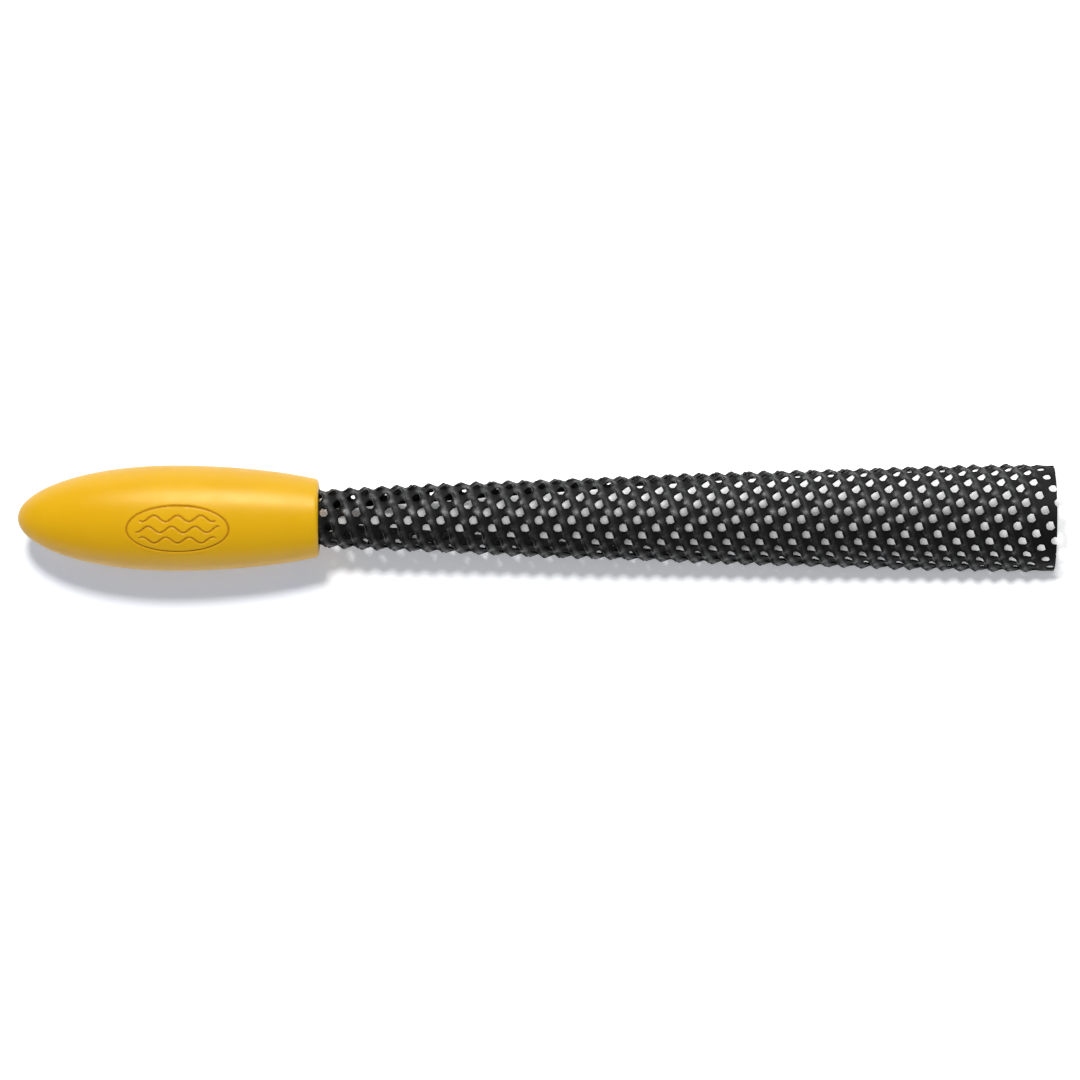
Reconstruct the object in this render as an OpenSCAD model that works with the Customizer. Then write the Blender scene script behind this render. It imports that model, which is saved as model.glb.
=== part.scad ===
// Clay shredding rasp: a moulded grip that carries a long toothed strip,
// rolled into an open trough that widens towards its free end.
// The tool's axis is X and the free end of the blade is at +X. The crest of
// the trough is up, at +Z. The origin is on the axis, at the grip's thickest ring.

/* [Grip] */
// Largest diameter of the grip
grip_d = 25.3; // [22:0.1:30]
// Length of the rounded nose, from the thickest ring to the rear end
nose_len = 37.5; // [30:0.5:45]
// Length from the thickest ring to the flat front face
front_len = 34.9; // [34:0.1:40]
// Diameter that the outline reaches at the front face, before its rim is rounded
front_d = 18.6; // [18.2:0.1:20]
// Radius of the rounded rim at the front face
rim_r = 1.2; // [0.6:0.1:1.4]

/* [Socket] */
// Diameter of the blind socket in the grip
socket_d = 14.9; // [14.4:0.1:15.2]
// Depth of the socket, from the front face
socket_depth = 31; // [30:0.5:38]
// Depth of the cured resin's surface below the front face
resin_recess = 1.4; // [0.5:0.1:3]
// Gap drawn between two bonded faces
bond_gap = 0.04; // [0.02:0.01:0.08]

/* [Blade] */
// Length of the blade that stands out of the grip
blade_len = 176.5; // [150:0.5:200]
// Length of the rolled root inside the socket
root_len = 28; // [24:0.5:29]
// Thickness of the sheet
sheet_t = 0.4; // [0.4:0.05:0.7]
// Outside radius of the trough where it leaves the grip
root_r = 6.2; // [6.1:0.05:6.4]
// Outside radius of the trough at its free end
tip_r = 12.45; // [11.5:0.05:13]
// How far the taper bulges out at mid length, over a straight taper
taper_bulge = 0.59; // [0.3:0.01:0.8]
// Width of the flat strip at the grip
strip_w_root = 34.6; // [33:0.2:35.4]
// Full width of the flat strip
strip_w_full = 41.4; // [40.6:0.1:42]
// Share of the exposed length over which the strip narrows towards the grip
strip_taper = 0.45; // [0.3:0.05:0.6]

/* [Teeth] */
// Spacing of the holes along the strip
hole_pitch = 7.835; // [7.6:0.005:8.2]
// Spacing of the rows across the strip
row_pitch = 1.85; // [1.8:0.01:1.95]
// How far each row is shifted along the strip from the row beside it
row_shift = 4.55; // [4.4:0.01:4.7]
// Place of one hole of the middle row, from the free end
first_hole = 14.3; // [13:0.05:15]
// Diameter of a hole's round side
hole_d = 2.2; // [1.8:0.05:2.3]
// Height of a cutting lip over the sheet
tooth_h = 0.7; // [0.5:0.05:0.8]
// Width of a cutting lip
tooth_w = 1.7; // [1.3:0.1:1.8]
// Length of the slope behind a cutting lip
tooth_len = 1.9; // [1.5:0.1:2]

/* [Hidden] */
$fn = 96;

grip_r = grip_d / 2;
front_x = front_len;
tip_x = front_x + blade_len;
root_x = front_x - root_len;
socket_x = front_x - socket_depth;

// Length of the front ellipse's half axis that gives front_d at the front face
front_axis = front_len / sqrt(1 - pow(front_d / grip_d, 2));
// Angle on the front ellipse where the outline meets the rounded rim
front_angle = asin((front_len - rim_r) / front_axis);

// Lets cutters run past the faces that they cut
past = 1;
// Stations along the blade's outline, and points on each half of the grip's outline
stations = 4;
outline_steps = 18;

// Rows each side of the middle row, and the bare margin beside the last hole
side_rows = 10;
edge_margin = 1;
hole_r = hole_d / 2;
// Turn of a cutting lip, which follows the slanted line of holes
lip_turn = atan((2 * row_shift - hole_pitch) / (2 * row_pitch));
// Half of the angle that a hole's straight side spans, and the angle between the
// corners of its round side
lip_angle = 60;
corner_angle = 48;
// From a hole's centre to its cutting lip, just clear of the straight side
lip_x = hole_r * cos(lip_angle) + 0.05;
// Depth of a cutting lip's foot in the sheet
foot = 0.8 * sheet_t;
// Edge angle at which the strip's edges change from upright to level cuts
switch_angle = 128;

// Share of the exposed length at a place x on the axis, 0 inside the grip
function along(x) = max(0, (x - front_x) / blade_len);
// Outside radius of the trough
function outer_r(x) = root_r + (tip_r - root_r) * along(x)
                    + 4 * taper_bulge * along(x) * (1 - along(x));
// Radius at the middle of the sheet, where its flat width is kept
function mid_r(x) = outer_r(x) - sheet_t / 2;
// Half of the flat strip's width
function half_w(x) = (strip_w_full - (strip_w_full - strip_w_root)
                      * pow(max(0, 1 - along(x) / strip_taper), 2)) / 2;
// Angle from the crest to the edge of the rolled strip
function edge_angle(x) = half_w(x) / mid_r(x) * 180 / PI;
function station(i) = front_x + blade_len * i / stations;

// Place where the edge passes the switch angle, found by halving an interval
function find_switch(low, high, n = 20) =
    n == 0 ? low
    : edge_angle((low + high) / 2) > switch_angle
        ? find_switch((low + high) / 2, high, n - 1)
        : find_switch(low, (low + high) / 2, n - 1);
switch_x = find_switch(front_x, tip_x);

// Turns a shape about Z into the same shape about X
module lay_along_x() { rotate([0, 90, 0]) children(); }

module grip_outline() {
    polygon(concat(
        [for (i = [0 : outline_steps]) let (a = 90 * i / outline_steps)
            [grip_r * sin(a), -nose_len * cos(a)]],
        [for (i = [1 : outline_steps]) let (a = front_angle * i / outline_steps)
            [grip_r * cos(a), front_axis * sin(a)]],
        [for (a = [10 : 20 : 90])
            [grip_r * cos(front_angle) - rim_r * (1 - cos(a)),
             front_x - rim_r * (1 - sin(a))]],
        [[0, front_x]]));
}

module grip() {
    color("gold")
    difference() {
        lay_along_x() rotate_extrude() grip_outline();
        translate([socket_x, 0, 0]) lay_along_x()
            cylinder(d = socket_d, h = socket_depth + past);
    }
}

module trough() {
    lay_along_x() rotate_extrude() polygon(concat(
        [[root_r, root_x]],
        [for (i = [0 : stations]) [outer_r(station(i)), station(i)]],
        [for (i = [stations : -1 : 0]) [outer_r(station(i)) - sheet_t, station(i)]],
        [[root_r - sheet_t, root_x]]));
}

// Space under the strip's two edges: upright sides near the grip, and a flat
// underside further out, where the strip is little more than half a circle
module underside() {
    near = [for (i = [0 : stations]) front_x + (switch_x - front_x) * i / stations];
    far = [for (i = [0 : stations]) switch_x + (tip_x - switch_x) * i / stations];
    translate([0, 0, -2 * tip_r]) linear_extrude(2 * tip_r) polygon(concat(
        [for (x = concat([root_x - past], near)) [x, outer_r(x) * sin(edge_angle(x))]],
        [for (x = concat([for (i = [stations : -1 : 0]) near[i]], [root_x - past]))
            [x, -outer_r(x) * sin(edge_angle(x))]]));
    rotate([90, 0, 0]) linear_extrude(4 * tip_r, center = true) polygon(concat(
        [[switch_x, -2 * tip_r]],
        [for (x = far) [x, outer_r(x) * cos(edge_angle(x))]],
        [[tip_x + past, outer_r(tip_x) * cos(edge_angle(tip_x))],
         [tip_x + past, -2 * tip_r]]));
}

// Puts a child on the rolled sheet at each place of the flat pattern. The child's
// Z points out of the sheet, and its origin is on the outside face.
module on_pattern(x_min, x_max) {
    for (row = [-side_rows : side_rows]) {
        start = tip_x - first_hole + row * row_shift;
        for (i = [ceil((x_min - start) / hole_pitch) : floor((x_max - start) / hole_pitch)]) {
            x = start + i * hole_pitch;
            if (abs(row) * row_pitch + hole_r + edge_margin < half_w(x))
                translate([x, 0, 0])
                    rotate([row * row_pitch / mid_r(x) * 180 / PI, 0, 0])
                        translate([0, 0, outer_r(x)]) children();
        }
    }
}

// Hole with a straight side, where its cutting lip stands
module hole() {
    rotate(lip_turn) linear_extrude(6 * sheet_t, center = true)
        polygon([for (a = [lip_angle : corner_angle : 360 - lip_angle])
            hole_r * [cos(a), sin(a)]]);
}

// Cutting lip: upright towards the grip, sloping down behind
module tooth() {
    rotate(lip_turn) rotate([90, 0, 0]) translate([lip_x, 0, 0])
        linear_extrude(tooth_w, center = true)
            polygon([[0, -foot], [0, tooth_h], [tooth_len, -foot / 3], [tooth_len, -foot]]);
}

module blade() {
    color("dimgray") {
        difference() {
            trough();
            underside();
            on_pattern(root_x + 2 * hole_r, tip_x + hole_r) hole();
        }
        on_pattern(front_x, tip_x - lip_x - tooth_len) tooth();
    }
}

module core_plug() {
    color("ivory")
    translate([root_x, 0, 0]) lay_along_x()
        cylinder(r = root_r - sheet_t - bond_gap, h = root_len - resin_recess);
}

module bond_resin() {
    color("wheat")
    difference() {
        translate([socket_x + bond_gap, 0, 0]) lay_along_x()
            cylinder(d = socket_d - 2 * bond_gap, h = socket_depth - resin_recess - bond_gap);
        translate([root_x - bond_gap, 0, 0]) lay_along_x()
            cylinder(r = root_r + bond_gap, h = root_len + past);
    }
}

grip();
blade();
core_plug();
bond_resin();
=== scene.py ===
# %% [markdown]
# # A clay shredding rasp
#
# The tool has a yellow moulded grip and a long blade. The blade is one strip of black steel, punched
# with rows of holes and rolled into a trough that widens towards its free end. Beside each hole, on
# the side of the free end, the sheet is pressed up into a cutting lip.
#
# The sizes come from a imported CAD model, and this script makes the looks around it. The tool's axis
# is X, its free end points to +X, and the crest of the trough is up.

# %% Load the frame
import math

import bmesh
import bpy
from mathutils import Matrix, Vector


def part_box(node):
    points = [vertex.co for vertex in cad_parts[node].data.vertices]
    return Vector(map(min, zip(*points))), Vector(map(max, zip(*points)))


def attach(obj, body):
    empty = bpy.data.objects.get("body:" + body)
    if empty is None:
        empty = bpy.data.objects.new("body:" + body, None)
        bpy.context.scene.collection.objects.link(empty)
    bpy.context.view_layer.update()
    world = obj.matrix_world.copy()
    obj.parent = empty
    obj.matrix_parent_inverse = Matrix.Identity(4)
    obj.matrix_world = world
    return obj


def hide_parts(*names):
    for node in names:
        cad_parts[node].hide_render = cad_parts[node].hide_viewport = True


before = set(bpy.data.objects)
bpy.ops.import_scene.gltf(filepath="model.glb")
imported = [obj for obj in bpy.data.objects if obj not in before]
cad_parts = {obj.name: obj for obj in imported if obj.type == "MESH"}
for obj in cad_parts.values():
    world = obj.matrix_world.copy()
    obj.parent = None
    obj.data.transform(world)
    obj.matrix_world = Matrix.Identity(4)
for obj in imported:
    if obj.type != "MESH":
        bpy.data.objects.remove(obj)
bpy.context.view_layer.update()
MM = 0.001
print("nodes:", sorted(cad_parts))

# %% [markdown]
# ## Places to build on
#
# Every place below is read from the boxes of the CAD nodes, so a change of the CAD moves the looks
# with it. The grip is thickest at X = 0. The blade's root is hidden in the grip's socket.

# %% Read the places
grip_low, grip_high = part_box("grip")
blade_low, blade_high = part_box("blade")
resin_low, resin_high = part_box("bond_resin")
nose_x, front_x = grip_low.x, grip_high.x
root_x, tip_x = blade_low.x, blade_high.x
grip_r = grip_high.y
SOCKET_GAP = 0.04 * MM
socket_r = resin_high.y + SOCKET_GAP
socket_x = resin_low.x
print("grip from", round(nose_x / MM, 2), "to", round(front_x / MM, 2), "mm")
print("grip radius", round(grip_r / MM, 2), "mm")
print("blade from", round(root_x / MM, 2), "to", round(tip_x / MM, 2), "mm")

# %% [markdown]
# ## Formulas for materials
#
# A material is a graph of nodes, and long graphs are hard to read. Here a socket is wrapped in a
# small class whose operators add the Math nodes, so a mask can be written as `1 - wear * grain`.
# Any other node comes from one method, which takes its type, its settings and its inputs.

# %% A socket that works in formulas
class Value:
    def __init__(self, finish, socket):
        self.finish = finish
        self.socket = socket

    def math(self, operation, first, second=0.0):
        settings = {"operation": operation}
        return self.finish.node("ShaderNodeMath", settings, {0: first, 1: second})

    def __add__(self, other):
        return self.math("ADD", self, other)

    def __radd__(self, other):
        return self.math("ADD", other, self)

    def __sub__(self, other):
        return self.math("SUBTRACT", self, other)

    def __rsub__(self, other):
        return self.math("SUBTRACT", other, self)

    def __mul__(self, other):
        return self.math("MULTIPLY", self, other)

    def __rmul__(self, other):
        return self.math("MULTIPLY", other, self)

    def between(self, low, high):
        """0 below low, 1 above high, and a smooth step in between."""
        settings = {"interpolation_type": "SMOOTHSTEP"}
        return self.finish.node("ShaderNodeMapRange", settings, {0: self, 1: low, 2: high})


class Finish:
    """One material. What is the same all over is set straight on the shader."""

    def __init__(self, name, shader):
        self.material = bpy.data.materials.new(name)
        self.material.use_nodes = True
        self.tree = self.material.node_tree
        self.shader = self.tree.nodes["Principled BSDF"]
        self.connect(self.shader, shader)

    def connect(self, node, inputs):
        for name, given in inputs.items():
            if isinstance(given, Value):
                self.tree.links.new(given.socket, node.inputs[name])
            else:
                node.inputs[name].default_value = given

    def node(self, kind, settings, inputs, out=0):
        made = self.tree.nodes.new(kind)
        for name, setting in settings.items():
            setattr(made, name, setting)
        self.connect(made, inputs)
        return Value(self, made.outputs[out])

    def place(self):
        return self.node("ShaderNodeTexCoord", {}, {}, "Object")

    def noise(self, size, detail=2.0, rough=0.5):
        """Cloudy noise whose lumps are about size metres across."""
        inputs = {"Vector": self.place(), "Scale": 1 / size}
        inputs.update({"Detail": detail, "Roughness": rough})
        return self.node("ShaderNodeTexNoise", {}, inputs)

    def mark(self, name):
        """A number that is kept on each point of the mesh under this name."""
        return self.node("ShaderNodeAttribute", {"attribute_name": name}, {}, "Fac")

    def mix(self, share, first, second):
        settings = {"data_type": "RGBA"}
        inputs = {"Factor": share, 6: first, 7: second}
        return self.node("ShaderNodeMix", settings, inputs, 2)

    def bump(self, height, depth):
        """Turns a 0 to 1 height into a normal. depth is its real relief in metres."""
        inputs = {"Height": height, "Distance": depth, "Strength": 1.0}
        return self.node("ShaderNodeBump", {}, inputs)


def colour(red, green, blue):
    return (red, green, blue, 1.0)


# %% [markdown]
# ## The shape of the trough
#
# The blade is drawn flat first, as it is punched and pressed, and then rolled. Rolling needs two
# rules: how wide the trough is at a place X, and how far the flat strip reaches to each side. The
# trough widens quickly near the grip and more slowly after that. The strip keeps one width, except
# that it narrows towards the grip, where it has to roll into a small tube.

# %% Rules of the trough
ROOT_R = 6.2 * MM
TIP_R = 12.45 * MM
TAPER_BULGE = 0.59 * MM
SHEET = 0.4 * MM
HALF_STRIP = 20.7 * MM
ROOT_HALF_STRIP = 17.3 * MM
NARROWING_SHARE = 0.45


def along(x):
    return max(0.0, (x - front_x) / (tip_x - front_x))


def trough_r(x):
    t = along(x)
    return ROOT_R + (TIP_R - ROOT_R) * t + 4 * TAPER_BULGE * t * (1 - t)


def half_strip(x):
    left = max(0.0, 1 - along(x) / NARROWING_SHARE)
    return HALF_STRIP - (HALF_STRIP - ROOT_HALF_STRIP) * left**2


for x in (front_x, (front_x + tip_x) / 2, tip_x):
    wrap = math.degrees(half_strip(x) / (trough_r(x) - SHEET / 2))
    print("at", round(x / MM), "mm: radius", round(trough_r(x) / MM, 2), "edges at", round(wrap), "deg")

# %% [markdown]
# ## The pattern of holes
#
# The holes stand in a lattice. Along the strip they repeat every 7.8 mm, and each row is shifted
# against the next, so that slanted lines of holes run across the strip. One parallelogram cell with
# a hole in the middle, repeated, makes the whole sheet. Its side E1 crosses from one slanted line to
# the next, and its side E2 follows the line.

# %% Lattice
PITCH = 7.835 * MM
ROW = 1.85 * MM
SHIFT = 4.55 * MM
FIRST_HOLE = tip_x - 13.95 * MM
SIDE_ROWS = 10
HOLE_R = 1.1 * MM
MARGIN = 1.0 * MM
E1 = Vector((PITCH - SHIFT, ROW, 0))
E2 = Vector((2 * SHIFT - PITCH, -2 * ROW, 0))
LINE = E2.normalized()
ACROSS = Vector((-LINE.y, LINE.x, 0))
LINE_GAP = E1.dot(ACROSS)
LINE_SLIP = E1.dot(LINE)
HOLE_GAP = E2.length
print("slanted lines", round(LINE_GAP / MM, 2), "mm apart, holes", round(HOLE_GAP / MM, 2), "mm apart")


def centre(step, row):
    return Vector((FIRST_HOLE + step * PITCH + row * SHIFT, -row * ROW, 0))


def has_hole(middle):
    reach = abs(middle.y) + HOLE_R + MARGIN
    return reach < half_strip(middle.x) and middle.x > root_x + 2 * HOLE_R


# %% [markdown]
# ## One cell
#
# A hole is round on the side of the grip and cut straight where its lip stands. The ring of faces
# round it is a grid bent into a ring: its inner edge becomes the hole and its outer edge the cell's
# border. The border's points match those of the next cell. Some of them lie on the two creases that
# the press leaves, so that the creases run on straight from hole to hole. One crosses the holes on
# the grip's side of their middles, and the other runs along their lips.

# %% Ring of faces round a hole
SIDES = 16
RING_SHARES = (0.0, 0.2, 0.58, 1.0)
LIP_HALF_ANGLE = 45
LIP_X = HOLE_R * math.cos(math.radians(LIP_HALF_ANGLE))
LOW_CREASE = 0.6 * MM
AT_MIDDLE = 0.1
AT_CORNER = 0.9


def in_between(share):
    return AT_MIDDLE < abs(share) < AT_CORNER


def on_creases(s):
    """Moves a point between the middle and the border of a cell to the nearer crease."""
    if in_between(s):
        return (LIP_X if s > 0 else -LOW_CREASE) / (LINE_GAP / 2)
    return s


def border_point(side):
    """Point on the cell's border, in shares of E1 and E2, from -1 to 1."""
    turn = math.tau * side / SIDES
    s, t = math.cos(turn), math.sin(turn)
    reach = max(abs(s), abs(t))
    s, t = on_creases(s / reach), t / reach
    if in_between(t):
        t = math.copysign(0.5, t)
    return E1 * s / 2 + E2 * t / 2


LIP_STEPS = 3
BACK_STEP = 5


def hole_point(side):
    """Point on the hole's outline: more of its sides go to the straight lip."""
    quarter = side % SIDES
    mirrored = quarter > SIDES / 2
    step = SIDES - quarter if mirrored else quarter
    if step <= LIP_STEPS:
        angle = step * LIP_HALF_ANGLE / LIP_STEPS
    elif step <= BACK_STEP:
        angle = LIP_HALF_ANGLE + (step - LIP_STEPS) * (90 - LIP_HALF_ANGLE)
    else:
        angle = 180 - LIP_HALF_ANGLE + (step - BACK_STEP) * LIP_HALF_ANGLE / LIP_STEPS
    angle = math.radians(-angle if mirrored else angle)
    reach = HOLE_R
    if math.cos(angle) > LIP_X / HOLE_R:
        reach = LIP_X / math.cos(angle)
    return ACROSS * reach * math.cos(angle) + LINE * reach * math.sin(angle)


CELL_MERGE = 0.01 * MM


def cell_mesh(name, cell):
    mesh = bpy.data.meshes.new(name)
    cell.to_mesh(mesh)
    cell.free()
    return mesh


def holed_cell():
    cell = bmesh.new()
    bmesh.ops.create_grid(cell, x_segments=SIDES, y_segments=len(RING_SHARES) - 1, size=1)
    for vert in cell.verts:
        side = round((vert.co.x + 1) / 2 * SIDES)
        ring = round((vert.co.y + 1) / 2 * (len(RING_SHARES) - 1))
        vert.co = hole_point(side).lerp(border_point(side), RING_SHARES[ring])
    bmesh.ops.remove_doubles(cell, verts=cell.verts, dist=CELL_MERGE)
    return cell_mesh("holed_cell", cell)


BLANK_FACES = 4


def blank_cell():
    cell = bmesh.new()
    bmesh.ops.create_grid(cell, x_segments=BLANK_FACES, y_segments=BLANK_FACES, size=1)
    for vert in cell.verts:
        vert.co = E1 * on_creases(vert.co.x) / 2 + E2 * vert.co.y / 2
    return cell_mesh("blank_cell", cell)


cells = {True: holed_cell(), False: blank_cell()}
print("faces of a holed cell:", len(cells[True].polygons))
print("faces of a blank cell:", len(cells[False].polygons))

# %% [markdown]
# ## The flat sheet
#
# The cells are laid side by side until they cover the strip, and merged along their borders. Then
# the strip is cut out with straight cuts, as a shear would: one at each end, and a fan of cuts along
# each side, because the narrowing edge is curved. The cut at the free end goes through some holes
# and leaves half-round notches there.

# %% Lay the cells
SPARE_ROWS = 3
SHEET_MERGE = 0.02 * MM
sheet = bmesh.new()
holes = 0
for row in range(-SIDE_ROWS - SPARE_ROWS, SIDE_ROWS + SPARE_ROWS + 1):
    row_start = centre(0, row).x
    first = math.floor((root_x - row_start) / PITCH) - 1
    last = math.ceil((tip_x - row_start) / PITCH) + 1
    for step in range(first, last + 1):
        middle = centre(step, row)
        holed = has_hole(middle)
        known = len(sheet.verts)
        sheet.from_mesh(cells[holed])
        sheet.verts.ensure_lookup_table()
        bmesh.ops.translate(sheet, vec=middle, verts=sheet.verts[known:])
        holes += holed
bmesh.ops.remove_doubles(sheet, verts=sheet.verts, dist=SHEET_MERGE)
print("holes before the strip is cut out:", holes, "faces:", len(sheet.faces))

# %% Cut the strip out
EDGE_CUTS = 8
CUT_SNAP = 0.001 * MM
SMALL_STEP = 0.1 * MM


def cut(point, outward, low_x=-1.0, high_x=1.0, clear=True):
    """Cuts the sheet along a line, between low_x and high_x, and clears what is outward of it."""
    faces = [face for face in sheet.faces if low_x < face.calc_center_median().x < high_x]
    edges = {edge for face in faces for edge in face.edges}
    verts = {vert for face in faces for vert in face.verts}
    bmesh.ops.bisect_plane(
        sheet,
        geom=[*verts, *edges, *faces],
        dist=CUT_SNAP,
        plane_co=point,
        plane_no=outward,
        clear_outer=clear,
    )


cut(Vector((tip_x, 0, 0)), Vector((1, 0, 0)))
cut(Vector((root_x, 0, 0)), Vector((-1, 0, 0)))
cut(Vector((front_x, 0, 0)), Vector((1, 0, 0)), clear=False)
narrow_end = front_x + NARROWING_SHARE * (tip_x - front_x)
for side in (1, -1):
    cut(Vector((0, side * ROOT_HALF_STRIP, 0)), Vector((0, side, 0)), high_x=front_x)
    for number in range(EDGE_CUTS + 1):
        x = front_x + (narrow_end - front_x) * number / EDGE_CUTS
        slope = (half_strip(x + SMALL_STEP) - half_strip(x)) / SMALL_STEP
        edge_point = Vector((x, side * half_strip(x), 0))
        cut(edge_point, Vector((-slope, side, 0)), low_x=front_x)
print("faces of the flat strip:", len(sheet.faces))

# %% [markdown]
# ## Pressing the teeth
#
# The press lifts the straight side of each hole into a cutting lip, and lifts the bridge between two
# holes of a line half as much. Beyond the line the sheet slopes back down to the next one, so in
# section the blade is a row of low saw teeth. The height is a formula of the place on the flat
# sheet. The press doesn't reach the sides and the free end, where the sheet keeps its middle level,
# and it never lifts two lips quite alike: a sine of a lip's place in the lattice makes them uneven.

# %% Height of the pressed sheet
LIP_H = 0.88 * MM
BRIDGE_H = 0.40 * MM
LIP_BACK = 0.99 * MM
LIP_FLAT = 0.72 * MM
LIP_END = 1.5 * MM
FLAT_LEVEL = 0.24 * MM
UNEVEN = 0.12
UNEVEN_BY_LINE = 12.9
UNEVEN_BY_LIP = 4.7
SIDE_FADE = 1.6 * MM
END_FADE = 9.0 * MM
MOUTH_FADE = 1.0 * MM
LIP_TOUCH = 0.01 * MM


def smooth_step(share):
    share = min(max(share, 0.0), 1.0)
    return share * share * (3 - 2 * share)


def pressed_height(place):
    """Height in metres, share of a full lip, and share up the back of a tooth, at a place on the flat
    sheet.
    """
    offset = place - centre(0, 0)
    across = offset.dot(ACROSS)
    line = math.floor((across + LOW_CREASE) / LINE_GAP)
    p = across - line * LINE_GAP
    q = offset.dot(LINE) - line * LINE_SLIP
    number = round(q / HOLE_GAP)
    q = abs(q - HOLE_GAP * number)
    lip = 1 - smooth_step((q - LIP_FLAT) / (LIP_END - LIP_FLAT))
    lip_h = LIP_H * (1 + UNEVEN * math.sin(UNEVEN_BY_LINE * line + UNEVEN_BY_LIP * number))
    crest = BRIDGE_H + (lip_h - BRIDGE_H) * lip
    behind = p > LIP_X - LIP_TOUCH
    if not behind:
        share = (p + LOW_CREASE) / (LIP_X + LOW_CREASE)
    else:
        share = min(1.0, (LINE_GAP - LOW_CREASE - p) / (LINE_GAP - LOW_CREASE - LIP_BACK))
    pressed = smooth_step((half_strip(place.x) - abs(place.y)) / SIDE_FADE)
    pressed *= smooth_step((tip_x - place.x) / END_FADE)
    outside = smooth_step((place.x - front_x + MOUTH_FADE) / MOUTH_FADE)
    height = (crest * share * pressed + FLAT_LEVEL * (1 - pressed)) * outside
    return height, lip * share * pressed, share * behind * pressed


def hole_distance(place):
    """Distance from the edge of the nearest hole."""
    offset = place - centre(0, 0)
    line = round(offset.dot(ACROSS) / LINE_GAP)
    p = offset.dot(ACROSS) - line * LINE_GAP
    q = offset.dot(LINE) - line * LINE_SLIP
    q -= HOLE_GAP * round(q / HOLE_GAP)
    return math.hypot(p, q) - HOLE_R


# The ring number marks where a painted shade darkens the sheet round each hole's edge.
HOLE_SHADE_WIDTH = 0.55 * MM
lip_layer = sheet.verts.layers.float.new("lip")
tooth_back_layer = sheet.verts.layers.float.new("tooth_back")
hole_shade_layer = sheet.verts.layers.float.new("ring")
for vert in sheet.verts:
    height, lip, tooth_back = pressed_height(vert.co)
    vert[lip_layer] = lip
    vert[tooth_back_layer] = tooth_back
    vert[hole_shade_layer] = 1 - smooth_step(hole_distance(vert.co) / HOLE_SHADE_WIDTH)
    vert.co.z = height
print("highest point above the sheet:", round(max(vert.co.z for vert in sheet.verts) / MM, 2), "mm")

# %% [markdown]
# ## Rolling the blade
#
# A place Y on the flat strip becomes an angle round the trough, Y over the radius, and the pressed
# height adds to the radius. The real strips aren't rolled quite straight: near the grip this one has
# turned by a few degrees, and the turn fades towards the free end. The sheet gets its thickness
# last, from a Solidify modifier that grows it equally to both sides.

# %% Roll
ROOT_TWIST = math.radians(5)
SHEET_FOLD = math.radians(22)
rim_layer = sheet.verts.layers.float.new("rim")
for vert in sheet.verts:
    vert[rim_layer] = 1.0 if vert.is_boundary else 0.0
for vert in sheet.verts:
    x, y, height = vert.co
    middle_r = trough_r(x) - SHEET / 2
    turn = y / middle_r - ROOT_TWIST * (1 - along(x))
    radius = middle_r + height
    vert.co = Vector((x, radius * math.sin(turn), radius * math.cos(turn)))
bmesh.ops.recalc_face_normals(sheet, faces=sheet.faces)
crest_face = max(sheet.faces, key=lambda face: face.calc_center_median().z)
if crest_face.normal.z < 0:
    bmesh.ops.reverse_faces(sheet, faces=sheet.faces)
for face in sheet.faces:
    face.smooth = True


def make_piece(name, mesh_edit, node):
    """Turns a bmesh into a piece that stands for a CAD node."""
    mesh = bpy.data.meshes.new(name)
    mesh_edit.to_mesh(mesh)
    mesh_edit.free()
    piece = bpy.data.objects.new(name, mesh)
    bpy.context.scene.collection.objects.link(piece)
    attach(piece, "root")
    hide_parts(node)
    return piece


rasp_blade = make_piece("rasp_blade", sheet, "blade")
thickness = rasp_blade.modifiers.new("sheet thickness", "SOLIDIFY")
thickness.thickness = SHEET
thickness.offset = 0
thickness.use_even_offset = True
rasp_blade.data.set_sharp_from_angle(angle=SHEET_FOLD)
sheet_triangles = sum(len(face.vertices) - 2 for face in rasp_blade.data.polygons)
print("triangles of the sheet before it gets its thickness:", sheet_triangles)

# %% [markdown]
# ## The grip
#
# The grip is turned round its axis: half of an ellipse at the nose, a longer and blunter one towards
# the front, a rounded rim and a blind socket for the blade. Its outline is spun. An oval is engraved
# in it, and so the outline is spun in two sectors: a fine one under the oval, whose small faces can
# follow the groove, and a coarse one for the rest.

# %% Outline of the grip
FRONT_R = 9.3 * MM
RIM_R = 1.2 * MM
SOCKET_CHAMFER = 0.35 * MM
OVAL_X = 1.5 * MM
OVAL_LENGTH = 24.4 * MM
OVAL_WIDTH = 11.8 * MM
OVAL_BORDER = 1.2 * MM
FINE = 0.17 * MM
COARSE = 1.1 * MM
NOSE_STEP = math.radians(3.5)
RIM_STEP = math.radians(11)
SOCKET_START = 2 * MM
SOCKET_STEP = 4 * MM
front_axis = front_x / math.sqrt(1 - (FRONT_R / grip_r) ** 2)


def grip_outer_r(x):
    axis = -nose_x if x < 0 else front_axis
    return grip_r * math.sqrt(max(0.0, 1 - (x / axis) ** 2))


def spread(first, last, pitch):
    """Evenly spread numbers from first up to, but without, last."""
    count = max(1, round(abs(last - first) / pitch))
    return [first + (last - first) * number / count for number in range(count)]


fine_start = OVAL_X - OVAL_LENGTH / 2 - OVAL_BORDER
fine_end = OVAL_X + OVAL_LENGTH / 2 + OVAL_BORDER
nose_turn = math.acos(fine_start / nose_x)
outline = []
for turn in spread(0, nose_turn, NOSE_STEP):
    outline.append((nose_x * math.cos(turn), grip_r * math.sin(turn)))
rim_start = front_x - RIM_R
stations = spread(fine_start, fine_end, FINE) + spread(fine_end, rim_start, COARSE)
outline += [(x, grip_outer_r(x)) for x in stations]
rim_r = grip_outer_r(rim_start)
front_slope = math.atan2(rim_r - grip_outer_r(rim_start + SMALL_STEP), SMALL_STEP)
for turn in spread(math.pi / 2 - front_slope, 0, RIM_STEP):
    outline.append((rim_start + RIM_R * math.cos(turn), rim_r - RIM_R + RIM_R * math.sin(turn)))
outline.append((front_x, rim_r - RIM_R))
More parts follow.
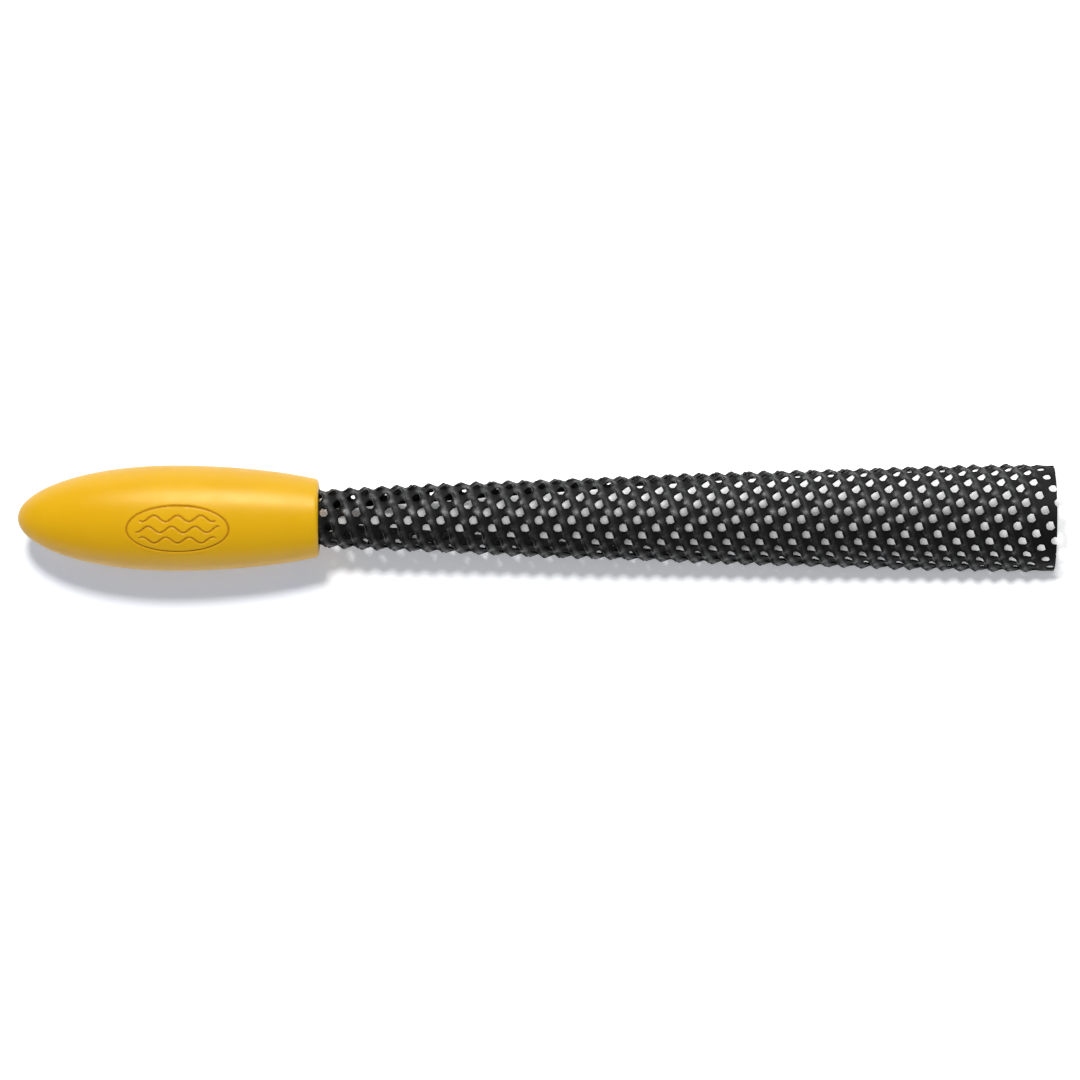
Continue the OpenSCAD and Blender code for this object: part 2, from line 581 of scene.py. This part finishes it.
outline.append((front_x, socket_r + SOCKET_CHAMFER))
outline.append((front_x - SOCKET_CHAMFER, socket_r))
outline += [(x, socket_r) for x in spread(front_x - SOCKET_START, socket_x, SOCKET_STEP)]
outline += [(socket_x, socket_r), (socket_x, 0)]
print("points of the outline:", len(outline), "radius at the rim:", round(rim_r / MM, 2), "mm")

# %% Spin it
OVAL_TURN = math.radians(13.2)
FINE_TURN = math.radians(64)
COARSE_STEPS = 62
GRIP_MERGE = 0.002 * MM
grip_edit = bmesh.new()
profile = [grip_edit.verts.new((x, 0, radius)) for x, radius in outline]
profile += [grip_edit.edges.new(pair) for pair in zip(profile, profile[1:])]
start_turn = Matrix.Rotation(OVAL_TURN - FINE_TURN / 2, 3, "X")
bmesh.ops.rotate(grip_edit, cent=(0, 0, 0), matrix=start_turn, verts=grip_edit.verts)
fine_steps = round(FINE_TURN * grip_r / FINE)
swept = bmesh.ops.spin(
    grip_edit, geom=profile, cent=(0, 0, 0), axis=(1, 0, 0), angle=FINE_TURN, steps=fine_steps
)
bmesh.ops.spin(
    grip_edit,
    geom=swept["geom_last"],
    cent=(0, 0, 0),
    axis=(1, 0, 0),
    angle=math.tau - FINE_TURN,
    steps=COARSE_STEPS,
)
bmesh.ops.remove_doubles(grip_edit, verts=grip_edit.verts, dist=GRIP_MERGE)
bmesh.ops.recalc_face_normals(grip_edit, faces=grip_edit.faces)
print("faces of the grip:", len(grip_edit.faces))

# %% [markdown]
# ## The engraved oval
#
# The oval is a shallow groove, and inside it run a few wavy grooves that say nothing: a plain
# ornament. Each is a formula for how far a place is from the groove's middle, and the faces there
# are pressed in by a smooth section. The same depth is kept as a number on each point, so that the
# material can darken the grooves.

# %% Engrave
GROOVE_WIDTH = 0.72 * MM
GROOVE_DEPTH = 0.34 * MM
WAVE_ROWS = 3
WAVE_GAP = 2.7 * MM
WAVE_H = 0.75 * MM
WAVE_LENGTH = 5.6 * MM
WAVE_END = 0.86
WAVE_FADE = 0.06
OVAL_HEART = 0.2


def groove(distance):
    """Share of the groove's depth at a distance from its middle line."""
    share = min(abs(distance) / (GROOVE_WIDTH / 2), 1.0)
    return 0.5 + 0.5 * math.cos(math.pi * share)


def engraving(x, y):
    """Depth share at x along the oval and y across it."""
    a, b = OVAL_LENGTH / 2, OVAL_WIDTH / 2
    level = math.hypot(x / a, y / b)
    if level < OVAL_HEART:
        oval = 0.0
    else:
        steepness = math.hypot(x / a**2, y / b**2) / level
        oval = groove((level - 1) / steepness)
    nearest = round(y / WAVE_GAP)
    nearest = max(-(WAVE_ROWS // 2), min(WAVE_ROWS // 2, nearest))
    wave_turn = math.tau * x / WAVE_LENGTH + nearest * math.pi / 2
    wave_y = nearest * WAVE_GAP + WAVE_H * math.sin(wave_turn)
    lean = math.cos(wave_turn) * WAVE_H * math.tau / WAVE_LENGTH
    ends = smooth_step((WAVE_END - level) / WAVE_FADE)
    wave = groove((y - wave_y) / math.hypot(1, lean)) * ends
    return max(oval, wave)


WALL = 1.0 * MM
GRIP_FOLD = math.radians(40)
groove_layer = grip_edit.verts.layers.float.new("groove")
for vert in grip_edit.verts:
    x = vert.co.x
    radius = math.hypot(vert.co.y, vert.co.z)
    if fine_start < x < fine_end and radius > socket_r + WALL:
        turn = math.atan2(-vert.co.y, vert.co.z) - OVAL_TURN
        if abs(turn) < FINE_TURN / 2:
            share = engraving(x - OVAL_X, turn * radius)
            vert[groove_layer] = share
            shrink = 1 - share * GROOVE_DEPTH / radius
            vert.co.y *= shrink
            vert.co.z *= shrink
for face in grip_edit.faces:
    face.smooth = True
engraved = sum(1 for vert in grip_edit.verts if vert[groove_layer] > 0.5)
print("points inside the grooves:", engraved)
moulded_grip = make_piece("moulded_grip", grip_edit, "grip")
moulded_grip.data.set_sharp_from_angle(angle=GRIP_FOLD)

# %% [markdown]
# ## Yellow moulded polymer
#
# The grip is solid coloured polymer with a satin surface. Its colour is almost even: a little cloudy,
# smeared by hands, so that its gloss varies, and brown in the grooves. A very fine orange-peel bump
# breaks up the highlight, and the mirrored light is tinted a little yellow.

# %% Grip finish
def yellow_polymer():
    shader = {"Specular IOR Level": 0.42, "Specular Tint": colour(1, 0.9, 0.6)}
    finish = Finish("yellow_polymer", shader)
    cloud = finish.noise(22 * MM, 3).between(0.35, 0.7)
    base = finish.mix(cloud, colour(0.83, 0.445, 0.003), colour(0.86, 0.475, 0.005))
    # The grooves are coloured a darker brown.
    in_groove = finish.mark("groove") * (0.65 + 0.3 * finish.noise(1.5 * MM))
    base = finish.mix(in_groove, base, colour(0.40, 0.15, 0.012))
    peel = finish.noise(0.45 * MM, 2)
    smear = finish.noise(6 * MM, 4).between(0.3, 0.75)
    rough = 0.35 + 0.08 * smear + 0.2 * in_groove
    finish.connect(
        finish.shader,
        {"Base Color": base, "Roughness": rough, "Normal": finish.bump(peel, 0.012 * MM)},
    )
    return finish.material


moulded_grip.data.materials.append(yellow_polymer())
print("finish of the grip:", moulded_grip.data.materials[0].name)

# %% [markdown]
# ## Black coated steel
#
# The strip is punched, pressed and then coated black. The coat is thin and satin. It is dull and
# almost black in the hollows. The backs of the teeth get a glossier coat, and there the colour is
# painted lighter as a painted sheen. The coat is worn through to grey steel on the lips. A ring round
# each hole is painted almost black, a painted shade at the hole's edge. Numbers kept on the mesh say
# where: one grows up the back of a tooth, ring is 1 at a hole's edge, rim is 1 at any cut edge, and
# lip grows towards a lip.

# %% Blade finish
def black_coated_steel():
    finish = Finish("black_coated_steel", {"Specular IOR Level": 0.15, "Coat Roughness": 0.42})
    lip = finish.mark("lip")
    rim = finish.mark("rim")
    tooth_back = finish.mark("tooth_back")
    ring = finish.mark("ring")
    grain = finish.noise(0.8 * MM, 4, 0.6)
    worn = (0.75 * rim * lip + 0.35 * lip * grain).between(0.5, 0.95)
    patch = finish.noise(2.2 * MM, 3).between(0.3, 0.7)
    blotch = 0.2 + 0.5 * patch + 0.6 * grain.between(0.35, 0.65)
    polish_and_painted_sheen = tooth_back.between(0.25, 0.85) * (1 - ring) * blotch
    # Painted sheen: the backs of the teeth are painted lighter than the hollows, besides their glossier
    # coat.
    coat = finish.mix(polish_and_painted_sheen, colour(0.009, 0.009, 0.009), colour(0.032, 0.032, 0.034))
    # Painted shade: a ring round each hole is painted almost black and loses its sheen.
    coat = finish.mix(0.9 * ring, coat, colour(0.003, 0.003, 0.003))
    base = finish.mix(worn, coat, colour(0.20, 0.20, 0.205))
    rough = 0.60 + 0.12 * grain - 0.15 * polish_and_painted_sheen - 0.10 * worn
    bumps = 0.7 * finish.noise(0.3 * MM, 3) + 0.3 * grain
    finish.connect(
        finish.shader,
        {
            "Base Color": base,
            "Metallic": 0.6 * worn,
            "Coat Weight": polish_and_painted_sheen,
            "Roughness": rough,
            "Normal": finish.bump(bumps, 0.03 * MM),
        },
    )
    return finish.material


rasp_blade.data.materials.append(black_coated_steel())
print("finish of the blade:", rasp_blade.data.materials[0].name)

# %% [markdown]
# ## Core and resin
#
# Inside the socket the blade's root is wrapped round a short core and set in resin, so that the thin
# tube can't be crushed or pulled out. Both are CAD nodes whose shape is right, so they only get a
# finish of their own. They show a little at the mouth and in the open side of the blade.

# %% Finishes inside the mouth
def core_polymer():
    finish = Finish("core_polymer", {"Specular IOR Level": 0.4})
    cloud = finish.noise(4 * MM, 3)
    base = finish.mix(cloud, colour(0.46, 0.42, 0.33), colour(0.60, 0.56, 0.46))
    finish.connect(
        finish.shader,
        {"Base Color": base, "Roughness": 0.5 + 0.15 * cloud, "Normal": finish.bump(cloud, 0.02 * MM)},
    )
    return finish.material


def cured_resin():
    finish = Finish("cured_resin", {"Specular IOR Level": 0.5})
    pool = finish.noise(2.5 * MM, 2)
    base = finish.mix(pool, colour(0.16, 0.095, 0.030), colour(0.26, 0.160, 0.055))
    finish.connect(
        finish.shader,
        {"Base Color": base, "Roughness": 0.16 + 0.12 * pool, "Normal": finish.bump(pool, 0.05 * MM)},
    )
    return finish.material


def refinish(node, material):
    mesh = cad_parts[node].data
    mesh.materials.clear()
    mesh.materials.append(material)
    print(node, "gets", material.name)


refinish("core_plug", core_polymer())
refinish("bond_resin", cured_resin())

# %% [markdown]
# ## The floor
#
# The tool lies on its grip and on the two long edges of the blade's free end, so it is a little
# tilted. The tool keeps the frame of the CAD, and the floor is tilted instead: it goes through the
# lowest point of the blade's end and falls from there to the grip, which it just touches.

# %% Floor
def final_points(piece):
    evaluated = piece.evaluated_get(bpy.context.evaluated_depsgraph_get())
    return [piece.matrix_world @ vert.co for vert in evaluated.data.vertices]


blade_points = final_points(rasp_blade)
grip_points = final_points(moulded_grip)
FITTING_ROUNDS = 4
slope = 0.0
for _ in range(FITTING_ROUNDS):
    foot = min(blade_points, key=lambda point: point.z - slope * point.x)
    slope = max((point.z - foot.z) / (point.x - foot.x) for point in grip_points)
print("the floor rises by", round(math.degrees(math.atan(slope)), 2), "degrees towards the free end")
print("the blade touches it at X =", round(foot.x / MM, 1), "mm, Z =", round(foot.z / MM, 1), "mm")

FLOOR_SIZE = 4.0
floor_edit = bmesh.new()
bmesh.ops.create_grid(floor_edit, x_segments=1, y_segments=1, size=FLOOR_SIZE / 2)
floor_mesh = bpy.data.meshes.new("floor")
floor_edit.to_mesh(floor_mesh)
floor_edit.free()
floor_mesh.transform(Matrix.Translation(foot) @ Matrix.Rotation(-math.atan(slope), 4, "Y"))
floor = bpy.data.objects.new("floor", floor_mesh)
bpy.context.scene.collection.objects.link(floor)

# %% [markdown]
# ## The paper and its light
#
# The floor is plain white paper. One lamp and a sky would leave its shade darker than it is among
# the white screens of a studio, so the paper gets the rest from a weak glow of its own. This is a
# shortcut: the glow is light that is laid on the floor by place, in wide soft zones, and not light
# that the screens would throw. It is bluish round the grip, grey along both sides of the blade and
# almost nothing under it, grows there towards the free end, and is strong on the +Y side of the
# crest and just beyond the tip. Where no shade falls, it lifts a very light grey to white. Only the
# floor has it, and the floor isn't a part of the model.

# %% Limits of the zones
ALONG_BLADE = (front_x - 6 * MM, front_x + 6 * MM)
BLADE_WIDENING = 0.033
PAST_EDGE = (2.4 * MM, 5 * MM)
NEAR_TIP = (tip_x - 50 * MM, tip_x + 5 * MM)
BEYOND_START = (tip_x, tip_x + 2 * MM)
BEYOND_END = (tip_x + 6 * MM, tip_x + 20 * MM)
BACK_START = (1.2 * MM, 10.2 * MM)
BACK_END = (13 * MM, 16 * MM)
AWAY = (34 * MM, 60 * MM)
print("the glow under the blade grows from X =", round(NEAR_TIP[0] / MM), "mm")

# %% Zones of the glow
paper = Finish("lit_paper", {"Roughness": 0.9, "Specular IOR Level": 0.1, "Emission Strength": 1.0})
fibres = paper.noise(1.2 * MM, 3)
paper_white = paper.mix(fibres, colour(0.92, 0.92, 0.92), colour(0.95, 0.95, 0.95))
place_x = paper.node("ShaderNodeSeparateXYZ", {}, {"Vector": paper.place()}, "X")
place_y = paper.node("ShaderNodeSeparateXYZ", {}, {"Vector": paper.place()}, "Y")
from_middle = place_y.math("ABSOLUTE", place_y)
along_blade = place_x.between(*ALONG_BLADE)
past_edge = (from_middle - place_x * BLADE_WIDENING).between(*PAST_EDGE)
under_blade = along_blade * (1 - past_edge)
near_tip = place_x.between(*NEAR_TIP)
beyond_tip = place_x.between(*BEYOND_START) * (1 - place_x.between(*BEYOND_END))
back_half = place_y.between(*BACK_START) * (1 - place_y.between(*BACK_END))
away = from_middle.between(*AWAY)
print("zones of the glow: grip, blade, under the blade, beyond the tip, back half, away")

# %% Glow of the paper
GRIP_GLOW = colour(0.14, 0.195, 0.285)
BLADE_GLOW = colour(0.25, 0.255, 0.27)
UNDER_GLOW = colour(0.02, 0.02, 0.02)
UNDER_TIP_GLOW = colour(0.26, 0.26, 0.26)
BEYOND_GLOW = colour(0.68, 0.68, 0.68)
BACK_GLOW = colour(1.0, 1.0, 1.0)
AWAY_GLOW = colour(0.3, 0.3, 0.3)
glow = paper.mix(along_blade, GRIP_GLOW, BLADE_GLOW)
glow = paper.mix(under_blade, glow, paper.mix(near_tip, UNDER_GLOW, UNDER_TIP_GLOW))
glow = paper.mix(beyond_tip, glow, BEYOND_GLOW)
glow = paper.mix(back_half * along_blade, glow, BACK_GLOW)
glow = paper.mix(away, glow, AWAY_GLOW)
paper.connect(paper.shader, {"Base Color": paper_white, "Emission Color": glow})
floor_mesh.materials.append(paper.material)
print("nodes of the paper:", len(paper.tree.nodes))

# %% [markdown]
# ## Light
#
# A soft box stands high on the +Y side, lights the tool and throws the shadow to the other side. A
# long and wide one, further down on the +Y side, is only mirrored: it draws the satin highlight
# along the grip and on the backs of the teeth, and the first one doesn't. The rest is an even,
# slightly blue sky light, which isn't mirrored either, so that black steel stays black.

# %% Soft boxes and sky
LIGHT_DISTANCE = 1.2
middle = Vector(((nose_x + tip_x) / 2, 0, 0))


def soft_box(name, towards, size_x, size_y, power):
    data = bpy.data.lights.new(name, "AREA")
    data.shape = "ELLIPSE"
    data.size = size_x
    data.size_y = size_y
    data.energy = power
    light = bpy.data.objects.new(name, data)
    bpy.context.scene.collection.objects.link(light)
    direction = Vector(towards).normalized()
    light.location = middle + direction * LIGHT_DISTANCE
    light.rotation_euler = direction.to_track_quat("Z", "Y").to_euler()
    return light


KEY_SIZE = 0.18
KEY_POWER = 10.6
key = soft_box("key", (-0.18, 0.49, 1), KEY_SIZE, KEY_SIZE, KEY_POWER)
key.visible_glossy = False
SHINE_LENGTH = 1.00
SHINE_WIDTH = 0.55
SHINE_POWER = 20.0
shine = soft_box("shine", (0.14, 1.08, 1), SHINE_LENGTH, SHINE_WIDTH, SHINE_POWER)
shine.visible_diffuse = False

SKY_STRENGTH = 0.30
SKY_COLOUR = colour(0.95, 0.97, 1.0)
world = bpy.data.worlds.new("studio")
world.use_nodes = True
background = world.node_tree.nodes["Background"]
background.inputs["Color"].default_value = SKY_COLOUR
background.inputs["Strength"].default_value = SKY_STRENGTH
world.cycles_visibility.glossy = False
bpy.context.scene.world = world
bpy.context.scene.view_settings.view_transform = "Standard"
print("lights:", key.name, KEY_POWER, "W,", shine.name, SHINE_POWER, "W")

# %% [markdown]
# ## Camera
#
# The camera looks straight down from far away through a long lens, so the tool shows almost without
# perspective.

# %% Camera
VIEW_X = 88.0 * MM
VIEW_Y = -5.25 * MM
VIEW_DISTANCE = 1.6
VIEW_WIDTH = 259.6 * MM
SENSOR = 36.0
camera_data = bpy.data.cameras.new("camera")
camera_data.sensor_width = SENSOR
camera_data.lens = SENSOR * VIEW_DISTANCE / VIEW_WIDTH
camera = bpy.data.objects.new("camera", camera_data)
camera.location = (VIEW_X, VIEW_Y, VIEW_DISTANCE)
bpy.context.scene.collection.objects.link(camera)
bpy.context.scene.camera = camera
print("lens in mm:", round(camera_data.lens, 1))
